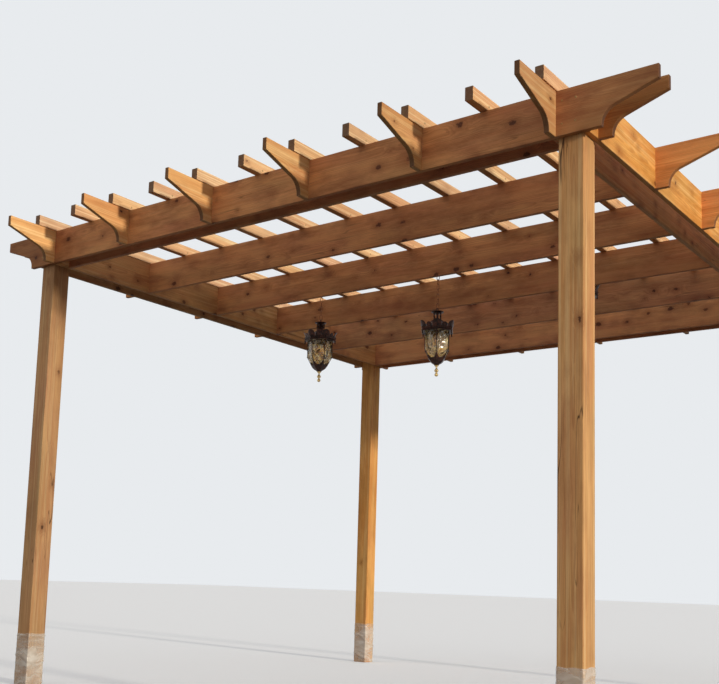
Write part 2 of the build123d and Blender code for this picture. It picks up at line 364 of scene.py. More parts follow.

# Boards that are paler, darker, redder or greyer than the others of their row. Part of this is painted light
# and shade: the front-left post is darker and the outer left board darker and greyer as painted shade, while
# the back posts are paler and warmer and the two front joists paler as painted light.
TONE_AND_PAINTED_LIGHT_SHIFTS = {"post_front_left": -0.20, "post_front_right": -0.01, "post_back_left": 0.14,
               "post_back_right": 0.14, "left_beam_outer": -0.28, "joist_1": 0.24, "joist_2": 0.08}
WARMTH_AND_PAINTED_LIGHT_SHIFTS = {"post_front_left": 0.04, "post_front_right": 0.04, "post_back_left": 0.12,
                 "post_back_right": 0.12, "left_beam_inner": -0.04, "left_beam_outer": -0.08,
                 "right_beam_inner": -0.04, "right_beam_outer": 0.12}

# Painted light and shade: the front tails go from lit at the left end to shaded at the right, the side tails
# are darker at the front and back corners as painted shade and paler between them as painted light, and the
# outer front board darkens towards both ends as painted shade.
# Way, two places in metres, and the share of the tone at each of them
PAINTED_LIGHT_FADES = {"front_tails": ("across", -1.64, 1.64, 0.78, 1.28),
          "left_tails": ("outwards", 1.45, 1.50, 1.25, 0.64),
          "right_tails": ("outwards", 1.45, 1.50, 1.25, 0.64),
          "front_beam_outer": ("to the ends", 1.30, 1.75, 1.02, 0.63)}


def pith_beside(nearest, farthest, spread):
    """Middle of the log to one side of the board, as plain-sawn boards have it."""
    return dice.choice((-1, 1)) * dice.uniform(nearest, farthest), dice.uniform(-spread, spread)


for name in sorted(solids):
    if name.startswith("post"):
        boxed_heart = (dice.uniform(-0.02, 0.02), dice.uniform(-0.02, 0.02))
        look = ("z", boxed_heart, dice.uniform(0.90, 0.96), dice.uniform(0.87, 0.95), POST_CUT)
    elif name.startswith("slat"):
        pith = pith_beside(nearest=0.02, farthest=0.06, spread=0.03)
        look = ("y", pith, dice.uniform(1.02, 1.10), dice.uniform(0.80, 0.92), SLAT_CUT)
    elif name in ("front_tails", "back_tails"):
        look = ("y", (0.05, dice.uniform(-0.05, 0.05)), dice.uniform(0.98, 1.04), 1.00, END_TAIL_CUT)
    elif name in ("left_tails", "right_tails"):
        look = ("x", (0.05, dice.uniform(-0.05, 0.05)), dice.uniform(0.98, 1.04), 0.98, SIDE_TAIL_CUT)
    elif name.startswith(("left_beam", "right_beam")):
        pith = pith_beside(nearest=0.03, farthest=0.09, spread=0.06)
        look = ("y", pith, dice.uniform(1.04, 1.09), dice.uniform(0.96, 1.02), SIDE_BEAM_CUT)
    elif name.startswith(("joist", "front_beam", "back_beam")):
        pith = pith_beside(nearest=0.03, farthest=0.09, spread=0.06)
        # Joists are darker than the front and back beams: painted shade inside the frame.
        tone = dice.uniform(0.79, 0.86) if name.startswith("joist") else dice.uniform(0.97, 1.02)
        look = ("x", pith, tone, dice.uniform(0.86, 0.93), CROSS_BOARD_CUT)
    else:
        continue
    dress(solids[name], timber_material(name, *look))


# Modelling calls

def pick_nothing():
    if bpy.context.mode != "OBJECT":
        bpy.ops.object.mode_set(mode="OBJECT")
    bpy.ops.object.select_all(action="DESELECT")


def add_piece(name, primitive, **size):
    pick_nothing()
    primitive(**size)
    piece = bpy.context.active_object
    piece.name = name
    return piece


def pick_only(piece):
    pick_nothing()
    piece.select_set(True)
    bpy.context.view_layer.objects.active = piece


def open_mesh(piece):
    pick_only(piece)
    bpy.ops.object.mode_set(mode="EDIT")


def close_mesh():
    bpy.ops.object.mode_set(mode="OBJECT")


def pick_where(piece, test, kind="VERT"):
    """Selects the vertices, or the edges by their middles, that pass the test in the mesh under edit."""
    bpy.ops.mesh.select_mode(type=kind)
    bpy.ops.mesh.select_all(action="DESELECT")
    mesh = bmesh.from_edit_mesh(piece.data)
    if kind == "VERT":
        for vert in mesh.verts:
            vert.select = test(vert.co)
    else:
        for edge in mesh.edges:
            edge.select = test((edge.verts[0].co + edge.verts[1].co) / 2)
    mesh.select_flush_mode()
    bmesh.update_edit_mesh(piece.data)


def pick_all(kind):
    bpy.ops.mesh.select_mode(type=kind)
    bpy.ops.mesh.select_all(action="SELECT")


def draw_faces(step):
    bpy.ops.mesh.extrude_region_move(TRANSFORM_OT_translate={"value": step})


def draw_edges(step):
    bpy.ops.mesh.extrude_edges_move(TRANSFORM_OT_translate={"value": step})


def settle(piece):
    """Applies the object's own place, turn and size to its mesh."""
    pick_only(piece)
    bpy.ops.object.transform_apply(location=True, rotation=True, scale=True)
    return piece


def face_outward(piece):
    open_mesh(piece)
    bpy.ops.mesh.select_all(action="SELECT")
    bpy.ops.mesh.remove_doubles(threshold=0.00002)
    bpy.ops.mesh.normals_make_consistent(inside=False)
    close_mesh()
    return piece


def add_modifier(piece, kind, **settings):
    made = piece.modifiers.new(kind.lower(), kind)
    for name, value in settings.items():
        setattr(made, name, value)
    pick_only(piece)
    bpy.ops.object.modifier_apply(modifier=made.name)
    return piece


def smooth(piece, degrees):
    pick_only(piece)
    bpy.ops.object.shade_smooth_by_angle(angle=math.radians(degrees))
    return piece


def joined(name, pieces):
    pick_nothing()
    for piece in pieces:
        piece.select_set(True)
    bpy.context.view_layer.objects.active = pieces[0]
    if len(pieces) > 1:
        bpy.ops.object.join()
    pieces[0].name = name
    pieces[0].data.name = name
    return pieces[0]


def copy_of(piece, name, matrix):
    """Copy with a mesh of its own, moved by the matrix."""
    made = piece.copy()
    made.data = piece.data.copy()
    made.name = name
    bpy.context.scene.collection.objects.link(made)
    made.matrix_world = matrix @ piece.matrix_world
    return settle(made)


def raised(height):
    return Matrix.Translation((0, 0, height))


def turned_by(angle):
    return Matrix.Rotation(angle, 4, "Z")


def turned_copies(piece, count):
    made = [piece]
    for step in range(1, count):
        made.append(copy_of(piece, f"{piece.name}_{step}", turned_by(2 * math.pi * step / count)))
    return made


def turned_piece(name, profile, sides, first_turn=0.0, closed=False):
    """Round or many-sided piece drawn up or down from ring to ring, as on a lathe."""
    radius, height = profile[0]
    piece = add_piece(name, bpy.ops.mesh.primitive_circle_add, vertices=sides, radius=radius,
                      fill_type="NOTHING" if closed else "NGON", location=(0, 0, height))
    settle(piece)
    open_mesh(piece)
    pick_all("EDGE" if closed else "FACE")
    draw = draw_edges if closed else draw_faces
    rings = list(profile[1:]) + ([profile[0]] if closed else [])
    for next_radius, next_height in rings:
        draw((0, 0, next_height - height))
        grow = next_radius / radius
        bpy.ops.transform.resize(value=(grow, grow, 1), center_override=(0, 0, next_height))
        radius, height = next_radius, next_height
    close_mesh()
    piece.rotation_euler.z = first_turn
    settle(piece)
    return face_outward(piece)


def bar_through(name, points, width, depth):
    """Bar of one level section that is drawn from point to point."""
    start = Vector(points[0])
    piece = add_piece(name, bpy.ops.mesh.primitive_plane_add, size=1, location=start)
    piece.scale = (depth, width, 1)
    settle(piece)
    open_mesh(piece)
    pick_all("FACE")
    for before, after in zip(points, points[1:]):
        draw_faces(Vector(after) - Vector(before))
    close_mesh()
    return face_outward(piece)


# Materials of the fittings

def lantern_paint():
    """Dark bronze paint over sheet metal, rubbed brown in patches."""
    made, w, bsdf = new_material("dark_bronze_paint")
    place = w.node("ShaderNodeTexCoord").outputs["Object"]
    patch = w.noise(place, 60, 4, 0.6)
    grit = w.noise(place, 900, 2)
    colour = w.mix(w.span(patch, 0.4, 0.75), linear(36, 26, 23), linear(88, 52, 42))
    w.feed(bsdf["Base Color"], colour)
    w.feed(bsdf["Roughness"], w.span(patch, 0.3, 0.8, 0.30, 0.52))
    bsdf["Metallic"].default_value = 0.75
    wear(w, bsdf, w.math("ADD", w.math("MULTIPLY", grit, 0.4), patch), strength=0.3, distance=0.0004)
    return made


def mottled_metal(name, scale, detail, patches, colours, roughness, metallic):
    """Bare or plated metal whose colour and gloss change from patch to patch."""
    made, w, bsdf = new_material(name)
    patch = w.noise(w.node("ShaderNodeTexCoord").outputs["Object"], scale, detail)
    w.feed(bsdf["Base Color"], w.mix(w.span(patch, *patches), *colours))
    w.feed(bsdf["Roughness"], w.span(patch, *roughness))
    bsdf["Metallic"].default_value = metallic
    return made


def wavy_glass():
    """Poured glass: each face has its own strong wave, with pale streaks that are partly streaks in the glass
    and partly painted highlights, and a faint amber cast.
    """
    made, w, bsdf = new_material("wavy_lantern_glass")
    spot = w.node("ShaderNodeTexCoord")
    moved = w.node("ShaderNodeVectorMath", operation="SCALE")
    w.feed(moved.inputs[0], spot.outputs["Normal"])
    moved.inputs["Scale"].default_value = 0.06
    place = w.node("ShaderNodeVectorMath", operation="ADD")
    w.feed(place.inputs[0], spot.outputs["Object"])
    w.feed(place.inputs[1], moved.outputs[0])
    place = place.outputs[0]
    pull = w.noise(place, 14, 1)
    wave = w.noise(w.stretch(w.mix(0.05, place, pull), (26, 26, 11)), detail=0.5)
    streak = w.noise(w.stretch(w.mix(0.04, place, pull), (34, 34, 12), (3, 1, 4)), detail=1.5)
    # Paler, rougher streaks: partly streaks in the glass, partly painted highlights.
    shown = w.span(streak, 0.46, 0.56)
    amber = w.noise(w.stretch(place, (5, 5, 5)), detail=1)
    clear = w.mix(w.span(amber, 0.35, 0.65), linear(252, 224, 164), linear(242, 202, 132))
    w.feed(bsdf["Base Color"], w.mix(shown, clear, linear(255, 242, 202)))
    w.feed(bsdf["Roughness"], w.span(shown, 0.0, 1.0, 0.04, 0.12))
    bsdf["Transmission Weight"].default_value = 0.86
    bsdf["IOR"].default_value = 1.6
    bsdf["Coat Weight"].default_value = 1.0
    bsdf["Coat Roughness"].default_value = 0.12
    bsdf["Coat IOR"].default_value = 1.4
    wear(w, bsdf, wave, strength=1.0, distance=0.090)
    ripple = w.noise(w.stretch(w.mix(0.04, place, pull), (60, 60, 24), (8, 2, 5)), detail=1)
    wear(w, bsdf, ripple, strength=1.0, distance=0.008, layer="Coat Normal")
    return made


def stretch_film():
    """Clear film in several layers: milky along its folds, see-through between them."""
    made, w, bsdf = new_material("crinkled_stretch_film")
    place = w.node("ShaderNodeTexCoord").outputs["Object"]
    bent = w.mix(0.10, place, w.noise(place, 9, 2))
    folds = w.noise(w.stretch(bent, (5, 5, 26)), detail=2, roughness=0.5)
    ridge = w.span(w.math("ABSOLUTE", w.math("SUBTRACT", folds, 0.5)), 0.07, 0.0)
    layers = w.span(w.noise(w.stretch(bent, (5, 5, 10)), detail=2), 0.36, 0.64)
    milky = w.math("ADD", w.math("MULTIPLY", layers, 0.75), w.math("MULTIPLY", ridge, 0.25), clamp=True)
    w.feed(bsdf["Base Color"], w.mix(milky, linear(222, 212, 196), linear(248, 244, 236)))
    w.feed(bsdf["Alpha"], w.span(milky, 0.0, 1.0, 0.14, 0.50))
    bsdf["Roughness"].default_value = 0.22
    bsdf["Specular IOR Level"].default_value = 0.8
    wear(w, bsdf, folds, strength=0.5, distance=0.012)
    return made


BRONZE = lantern_paint()
CHAIN = mottled_metal("browned_chain_wire", scale=220, detail=3, patches=(0.35, 0.7),
                      colours=(linear(112, 70, 44), linear(168, 110, 68)),
                      roughness=(0.3, 0.7, 0.32, 0.55), metallic=0.7)
BRASS = mottled_metal("aged_brass", scale=140, detail=3, patches=(0.35, 0.75),
                      colours=(linear(228, 202, 146), linear(152, 118, 68)),
                      roughness=(0.3, 0.8, 0.18, 0.4), metallic=1.0)
ZINC = mottled_metal("yellowed_zinc", scale=600, detail=2, patches=(0.3, 0.7),
                     colours=(linear(172, 148, 96), linear(118, 98, 66)),
                     roughness=(0.3, 0.7, 0.3, 0.5), metallic=0.9)
GLASS = wavy_glass()
FILM = stretch_film()


def keep(piece, material, slot, *nodes):
    """Hands a finished piece to the frame, in place of the solids named."""
    dress(piece, material)
    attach(piece, "root")
    if nodes:
        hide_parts(*nodes)


# Packing film: a loop round the post drawn up ring by ring, then pulled into creases

FILM_THICKNESS = 0.0005
FILM_CLEARANCE = 0.0007
FILM_CORNER_RADIUS = 0.0055
FILM_ROWS = 44
FILM_RAGGED_TOP = 0.012
FILM_SLACK = 0.0014
FOLD_DEPTH = 0.0024
RIDGE_DEPTH = 0.0034


def film_loop(corner, centre, low, high):
    """Sleeve round the post's foot, with rows of small faces that can be creased."""
    piece = add_piece("film_" + corner, bpy.ops.mesh.primitive_plane_add,
                      size=POST_WIDTH + 2 * FILM_CLEARANCE, location=(centre.x, centre.y, low.z))
    settle(piece)
    open_mesh(piece)
    bpy.ops.mesh.select_all(action="SELECT")
    bpy.ops.mesh.delete(type="ONLY_FACE")
    bpy.ops.mesh.select_all(action="SELECT")
    bpy.ops.mesh.bevel(offset=FILM_CORNER_RADIUS, segments=3, affect="VERTICES")

    def on_flat_side(spot):
        reach = sorted((abs(spot.x - centre.x), abs(spot.y - centre.y)))
        return reach[0] < 0.01 and reach[1] > POST_WIDTH / 2

    pick_where(piece, on_flat_side, "EDGE")
    bpy.ops.mesh.subdivide(number_cuts=11)
    bpy.ops.mesh.select_all(action="SELECT")
    rise = (high.z - low.z - FILM_RAGGED_TOP) / FILM_ROWS
    for _ in range(FILM_ROWS):
        draw_edges((0, 0, rise))
    close_mesh()
    return piece


def crease(piece, centre, low, high, seed):
    """Pulls the film outwards along its folds and ridges, and lets its upper edge run unevenly."""
    for vert in piece.data.vertices:
        outward = Vector((vert.co.x - centre.x, vert.co.y - centre.y, 0))
        side = Vector((round(outward.x / 0.056), round(outward.y / 0.056), 0)).normalized()
        spot = vert.co + seed
        fold = noise.noise(Vector((spot.x * 6, spot.y * 6, spot.z * 24 + 3.5 * spot.x)))
        ridge = max(0.0, 1 - 7 * abs(noise.noise(Vector((spot.x * 5, spot.y * 5, spot.z * 15 + 9)))))
        level = (vert.co.z - low.z) / (high.z - low.z)
        pull = FILM_SLACK + FOLD_DEPTH * max(fold, 0) + RIDGE_DEPTH * ridge
        vert.co += side * pull * (0.45 if level > 0.93 else 1.0)
        if level > 0.9:
            vert.co.z += 0.010 * noise.noise(Vector((spot.x * 22, spot.y * 22, 4.0))) * (level - 0.9) / 0.1
        vert.co.z = max(vert.co.z, low.z)


def film_piece(corner):
    low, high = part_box("film_wrap_" + corner)
    centre = (low + high) / 2
    piece = film_loop(corner, centre, low, high)
    crease(piece, centre, low, high, Vector((CORNERS.index(corner) * 3.7, 1.3, 0)))
    add_modifier(piece, "SOLIDIFY", thickness=FILM_THICKNESS, offset=1.0)
    keep(smooth(face_outward(piece), 60), FILM, "packing_film", "film_wrap_" + corner)


for corner in CORNERS:
    film_piece(corner)


# Chains: one link and one screw eye are modelled, then copied along each chain

LINK_LENGTH = 0.040
LINK_WIDTH = 0.022
LINK_GAP = 0.0009
WIRE = 0.004
LINK_PITCH = LINK_LENGTH - 2 * WIRE - LINK_GAP
LINKS = {"left": 6, "middle": 8, "right": 5}
EYE_RADIUS = 0.012
SHANK_RADIUS = 0.0019
LANTERN_TURNS = {"left": 30, "middle": 0, "right": 12}


def hanging_line(low, high, side):
    """Move to a lantern's hanging line, with its turn about that line."""
    middle = Matrix.Translation(((low.x + high.x) / 2, (low.y + high.y) / 2, 0))
    return middle @ turned_by(math.radians(LANTERN_TURNS[side]))


def wire_ring(name, radius, **segments):
    """Ring of wire that stands in the XZ plane."""
    ring = add_piece(name, bpy.ops.mesh.primitive_torus_add, major_radius=radius, minor_radius=WIRE / 2,
                     **segments)
    ring.rotation_euler.x = math.pi / 2
    return settle(ring)


def link_piece():
    """Ring of wire pulled long."""
    piece = wire_ring("link", (LINK_WIDTH - WIRE) / 2, major_segments=20, minor_segments=8)
    open_mesh(piece)
    reach = (LINK_LENGTH - LINK_WIDTH) / 2
    for way in (1, -1):
        pick_where(piece, lambda spot: spot.z * way > 0.0005)
        bpy.ops.transform.translate(value=(0, 0, way * reach))
    close_mesh()
    return smooth(piece, 80)


def eye_piece():
    """Screw eye: a ring with the collar of its shank above it."""
    ring = wire_ring("eye", EYE_RADIUS - WIRE / 2, major_segments=24, minor_segments=8)
    collar = [(0.0018, EYE_RADIUS - 0.003), (0.0026, EYE_RADIUS), (0.0034, EYE_RADIUS + 0.0006),
              (0.0034, EYE_RADIUS + 0.0018), (0.002, EYE_RADIUS + 0.0022)]
    return smooth(joined("eye", [ring, turned_piece("eye_shank", collar, 12)]), 60)


def chain_piece(side, link, eye):
    """Links from the lantern's ring up to the screw eye, each a quarter turn from the last."""
    low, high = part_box("lantern_chain_" + side)
    line = hanging_line(low, high, side)
    lowest = low.z + LINK_LENGTH / 2
    parts = []
    for step in range(LINKS[side]):
        place = line @ raised(lowest + step * LINK_PITCH) @ turned_by(math.pi / 2 * (step % 2))
        parts.append(copy_of(link, f"link_{side}_{step}", place))
    last = lowest + (LINKS[side] - 1) * LINK_PITCH
    eye_middle = last + LINK_LENGTH / 2 - WIRE - LINK_GAP + EYE_RADIUS - WIRE
    place = line @ raised(eye_middle) @ turned_by(math.pi / 2 * (LINKS[side] % 2))
    parts.append(copy_of(eye, "eye_" + side, place))
    shank_foot = eye_middle + EYE_RADIUS - 0.001
    shank = turned_piece("shank_" + side, [(SHANK_RADIUS, shank_foot), (SHANK_RADIUS, BEAM_TOP)], 12)
    parts.append(copy_of(shank, "shank_in_place_" + side, line))
    bpy.data.objects.remove(shank)
    return joined("chain_" + side, parts)


link = link_piece()
eye = eye_piece()
for side in SIDES:
    keep(chain_piece(side, link, eye), CHAIN, "chain_metal", "lantern_chain_" + side)
bpy.data.objects.remove(link)
bpy.data.objects.remove(eye)


# Lanterns: one is modelled with its top at height zero, then copied

DISC_HEIGHT = 0.007
NECK_HEIGHT = 0.054
CROWN_RISE = 0.048
CROWN_RIM = 0.024
CROWN_RADIUS = 0.111
RIM_RADIUS = 0.106
GLASS_TOP_RADIUS = 0.0843
GLASS_BEND_RADIUS = 0.0823
GLASS_FOOT_RADIUS = 0.0523
GLASS_UPPER_HEIGHT = 0.112
GLASS_LOWER_HEIGHT = 0.052
GLASS_GAP = 0.0003
CUP_HEIGHT = 0.044
FINIAL_LENGTH = 0.072
NECK_TOP = -DISC_HEIGHT + 0.0005
NECK_FOOT = -DISC_HEIGHT - NECK_HEIGHT
RIM_TOP = NECK_FOOT - CROWN_RISE
RIM_FOOT = RIM_TOP - CROWN_RIM
BEND = RIM_FOOT - GLASS_GAP - GLASS_UPPER_HEIGHT
CUP_TOP = BEND - GLASS_LOWER_HEIGHT - GLASS_GAP
CUP_FOOT = CUP_TOP - CUP_HEIGHT
FINIAL_FOOT = CUP_FOOT - FINIAL_LENGTH
PANES = 6
HEX_TURN = math.pi / PANES
UPPER_PANE = (GLASS_TOP_RADIUS, GLASS_BEND_RADIUS, RIM_FOOT, BEND)
LOWER_PANE = (GLASS_BEND_RADIUS, GLASS_FOOT_RADIUS, BEND, CUP_TOP)
LEAF_SINK = 0.009
LEAF_THICKNESS = 0.0030
PETAL_THICKNESS = 0.0022
PETAL_WIDTH = 0.030
STUD_RADIUS = 0.0028
STUD_SPACING = 0.0135
NECK_BARS = 6
NECK_BAR_DISTANCE = 0.0236

# Lean outwards in metres, share of the leaf's height, and share of the width that is kept
LEAF_STEPS = ((0.0004, 0.18, 1.04), (0.0012, 0.22, 1.06), (0.0026, 0.22, 0.98), (0.0042, 0.22, 0.82),
              (0.0054, 0.16, 0.48))
PETAL_STEPS = (0.82, 0.78, 0.76, 0.66, 0.36)


def blade_foot(name, place, thickness, wide, fold):
    """Strip folded along its middle and left open with its faces picked, ready to be drawn up."""
    blade = add_piece(name, bpy.ops.mesh.primitive_plane_add, size=1, location=place)
    blade.scale = (thickness, wide, 1)
    settle(blade)
    open_mesh(blade)
    bpy.ops.mesh.select_all(action="SELECT")
    bpy.ops.mesh.subdivide(number_cuts=1)
    for way in (1, -1):
        pick_where(blade, lambda spot: spot.y * way > wide / 4)
        bpy.ops.transform.translate(value=(-wide / 2 * math.tan(fold), 0, 0))
    pick_all("FACE")
    return blade


def leaf(name, distance, tall, wide, fold):
    """Pressed leaf that stands on the crown's rim and curls outwards at its tip."""
    height = RIM_TOP - LEAF_SINK
    blade = blade_foot(name, (distance, 0, height), LEAF_THICKNESS, wide, fold)
    for lean, share, narrow in LEAF_STEPS:
        rise = share * (tall + LEAF_SINK)
        height += rise
        distance += lean
        draw_faces((lean, 0, rise))
        bpy.ops.transform.resize(value=(0.85, narrow, 1), center_override=(distance, 0, height))
    close_mesh()
    face_outward(blade)
    return smooth(add_modifier(blade, "SUBSURF", levels=1, render_levels=1), 50)


def petal():
    """Folded leaf that rises from the cup along one corner of the glass and narrows to a point."""
    start = Vector((GLASS_FOOT_RADIUS + 0.0016, 0, CUP_TOP - 0.004))
    bend = Vector((GLASS_BEND_RADIUS + 0.0016, 0, BEND - 0.006))
    blade = blade_foot("petal", start, PETAL_THICKNESS, PETAL_WIDTH, HEX_TURN)
    step = (bend - start) * 0.6 / len(PETAL_STEPS)
    for count, narrow in enumerate(PETAL_STEPS, start=1):
        draw_faces(step)
        bpy.ops.transform.resize(value=(narrow, narrow, 1), center_override=start + step * count)
    close_mesh()
    return smooth(face_outward(blade), 30)


def pane_arcs(pane, radius, wire, depth, way):
    """Half rings that lie on the panes of one tier, over their middles or under them."""
    top_radius, foot_radius, top, foot = pane
    arc = add_piece("pane_arc", bpy.ops.mesh.primitive_torus_add, major_radius=radius, minor_radius=wire,
                    major_segments=36, minor_segments=6)
    arc.rotation_euler = (0, math.pi / 2, 0)
    settle(arc)
    open_mesh(arc)
    turn = 1 if way == "over" else -1
    pick_where(arc, lambda spot: spot.z * turn < -0.0005)
    bpy.ops.mesh.delete(type="VERT")
    close_mesh()
    lean = math.atan2((top_radius - foot_radius) * math.cos(HEX_TURN), top - foot)
    share = depth / (top - foot)
    distance = (top_radius + (foot_radius - top_radius) * share) * math.cos(HEX_TURN) + 0.0010
    arc.matrix_world = (turned_by(HEX_TURN) @ Matrix.Translation((distance, 0, top - depth))
                        @ Matrix.Rotation(lean, 4, "Y"))
    settle(arc)
    open_mesh(arc)
    pick_all("EDGE")
    bpy.ops.mesh.region_to_loop()
    bpy.ops.mesh.edge_face_add()
    close_mesh()
    return turned_copies(smooth(face_outward(arc), 60), PANES)


def ring_and_disc():
    """Ring that the chain holds, and a top disc with a rolled edge."""
    ring = add_piece("hanging_ring", bpy.ops.mesh.primitive_torus_add, major_radius=0.010,
                     minor_radius=0.002, major_segments=24, minor_segments=8, location=(0, 0, 0.011))
    ring.rotation_euler.y = math.pi / 2
    smooth(settle(ring), 80)
    disc = turned_piece("top_disc", [
        (0.012, 0.0), (0.016, -0.0008), (0.030, -0.0016), (0.0350, -0.0004), (0.0382, -0.0010),
        (0.039, -0.0030), (0.0382, -0.0052), (0.0355, -0.0062), (0.032, -0.0052), (0.030, -DISC_HEIGHT)], 36)
    return [ring, smooth(disc, 50)]


def neck():
    """Turned bars that stand open round a thin rod, between two mouldings."""
    rod = turned_piece("neck_rod", [
        (0.027, NECK_TOP), (0.029, NECK_TOP - 0.003), (0.027, NECK_TOP - 0.006), (0.012, NECK_TOP - 0.008),
        (0.0065, NECK_TOP - 0.014), (0.0065, NECK_FOOT + 0.015), (0.012, NECK_FOOT + 0.010),
        (0.027, NECK_FOOT + 0.008), (0.0292, NECK_FOOT + 0.004), (0.0292, NECK_FOOT - 0.002)], 30)
    smooth(rod, 40)
    bar = turned_piece("neck_bar", [
        (0.0034, NECK_TOP - 0.005), (0.0050, NECK_TOP - 0.010), (0.0030, NECK_TOP - 0.015),
        (0.0052, NECK_TOP - 0.026), (0.0030, NECK_TOP - 0.037), (0.0050, NECK_FOOT + 0.011),
        (0.0034, NECK_FOOT + 0.006)], 8)
    bar.location.x = NECK_BAR_DISTANCE
    return [rod] + turned_copies(smooth(settle(bar), 50), NECK_BARS)


def crown():
    """Hollow six-sided roof over a moulded rim, with a ridge down each corner."""
    outer = [(0.040, NECK_FOOT), (0.0415, NECK_FOOT - 0.005), (0.050, NECK_FOOT - 0.012),
             (0.066, NECK_FOOT - 0.019), (0.083, NECK_FOOT - 0.028), (0.097, NECK_FOOT - 0.038),
             (0.1055, NECK_FOOT - 0.0455), (0.1105, RIM_TOP - 0.001), (CROWN_RADIUS, RIM_TOP - 0.004),
             (0.108, RIM_TOP - 0.007), (RIM_RADIUS, RIM_TOP - 0.010), (RIM_RADIUS, RIM_FOOT + 0.008),
             (0.109, RIM_FOOT + 0.005), (CROWN_RADIUS, RIM_FOOT + 0.002), (0.109, RIM_FOOT)]
    inner = [(0.077, RIM_FOOT), (0.077, RIM_FOOT + 0.002), (0.103, RIM_FOOT + 0.003),
             (0.103, RIM_TOP - 0.006), (0.095, RIM_TOP - 0.001), (0.080, NECK_FOOT - 0.031),
             (0.062, NECK_FOOT - 0.022), (0.046, NECK_FOOT - 0.015), (0.037, NECK_FOOT - 0.004)]
    roof = turned_piece("crown", outer + inner, PANES, HEX_TURN, closed=True)
    ridge_line = [(radius, 0, height) for radius, height in outer[1:7]]
    ridge = bar_through("crown_ridge", ridge_line, width=0.006, depth=0.004)
    return [roof] + turned_copies(smooth(ridge, 40), PANES)


def rim_leaves():
    """Leaves that stand along the rim, tall at the corners and low between them."""
    corner_leaf = leaf("corner_leaf", distance=0.1050, tall=0.040, wide=0.052, fold=HEX_TURN)
    leaves = turned_copies(corner_leaf, PANES)
    middle_leaf = leaf("middle_leaf", distance=0.0915, tall=0.024, wide=0.034, fold=0.12)
    middle_leaf.rotation_euler.z = HEX_TURN
    return leaves + turned_copies(settle(middle_leaf), PANES)


def rim_trim():
    """Studs along the rim, and a small drop under each corner."""
    stud = add_piece("rim_stud", bpy.ops.mesh.primitive_uv_sphere_add, segments=8, ring_count=6,
                     radius=STUD_RADIUS)
    face_distance = RIM_RADIUS * math.cos(HEX_TURN)
    studs = []
    for step in range(-3, 4):
        spot = Vector((face_distance, step * STUD_SPACING, RIM_TOP - 0.013))
        place = turned_by(HEX_TURN) @ Matrix.Translation(spot)
        studs.append(copy_of(stud, f"rim_stud_{step + 3}", place))
    bpy.data.objects.remove(stud)
    trim = turned_copies(smooth(joined("rim_studs", studs), 80), PANES)
    drop = turned_piece("corner_drop", [
        (0.0036, RIM_FOOT + 0.001), (0.0048, RIM_FOOT - 0.003), (0.0030, RIM_FOOT - 0.006),
        (0.0050, RIM_FOOT - 0.010), (0.0046, RIM_FOOT - 0.014), (0.0018, RIM_FOOT - 0.017)], 10)
    drop.location.x = 0.1030
    return trim + turned_copies(smooth(settle(drop), 50), PANES)


def glass_ribs():
    """Ribs down the corners of the glass, each with a bead at the bend, and the petals below."""
    bend = (GLASS_BEND_RADIUS + 0.0018, 0, BEND)
    rib_line = [(GLASS_TOP_RADIUS + 0.0018, 0, RIM_FOOT + 0.001), bend,
                (GLASS_FOOT_RADIUS + 0.0030, 0, CUP_TOP - 0.002)]
    rib = bar_through("rib", rib_line, width=0.0044, depth=0.0036)
    add_modifier(rib, "BEVEL", width=0.0009, segments=2, limit_method="ANGLE")
    bead = add_piece("bend_bead", bpy.ops.mesh.primitive_uv_sphere_add, segments=12, ring_count=8,
                     radius=0.0042, location=bend)
    ribs = turned_copies(joined("rib", [smooth(rib, 40), smooth(settle(bead), 80)]), PANES)
    return ribs + turned_copies(petal(), PANES)


def cup():
    """Rounded six-sided cup under the glass."""
    return turned_piece("cup", [
        (0.0460, CUP_TOP - 0.004), (0.0530, CUP_TOP), (0.0560, CUP_TOP - 0.0016), (0.0572, CUP_TOP - 0.0045),
        (0.0550, CUP_TOP - 0.0070), (0.0520, CUP_TOP - 0.0100), (0.0495, CUP_TOP - 0.0150),
        (0.0440, CUP_TOP - 0.0220), (0.0360, CUP_TOP - 0.0290), (0.0270, CUP_TOP - 0.0350),
        (0.0190, CUP_TOP - 0.0395), (0.0155, CUP_FOOT)], PANES, HEX_TURN)


def lantern_metal():
    parts = ring_and_disc() + neck() + crown() + rim_leaves() + rim_trim() + glass_ribs()
    parts += pane_arcs(UPPER_PANE, radius=0.034, wire=0.0017, depth=0.037, way="over")
    parts.append(cup())
    return joined("lantern_metal", parts)


def lantern_brass():
    """Brass finial under the cup, and an arc round the foot of each lower pane."""
    finial = smooth(turned_piece("finial", [
        (0.0120, CUP_FOOT + 0.001), (0.0140, CUP_FOOT - 0.002), (0.0120, CUP_FOOT - 0.006),
        (0.0060, CUP_FOOT - 0.010), (0.0046, CUP_FOOT - 0.017), (0.0062, CUP_FOOT - 0.023),
        (0.0110, CUP_FOOT - 0.029), (0.0135, CUP_FOOT - 0.035), (0.0120, CUP_FOOT - 0.040),
        (0.0064, CUP_FOOT - 0.044), (0.0046, CUP_FOOT - 0.0475), (0.0070, CUP_FOOT - 0.0490),
        (0.0066, CUP_FOOT - 0.0515), (0.0094, FINIAL_FOOT + 0.0175), (0.0110, FINIAL_FOOT + 0.0140),
        (0.0114, FINIAL_FOOT + 0.0105), (0.0104, FINIAL_FOOT + 0.0060), (0.0076, FINIAL_FOOT + 0.0025),
        (0.0035, FINIAL_FOOT + 0.0005), (0.0010, FINIAL_FOOT)], 24), 50)
    arcs = pane_arcs(LOWER_PANE, radius=0.0225, wire=0.0016, depth=0.019, way="under")
    return joined("lantern_brass", [finial] + arcs)


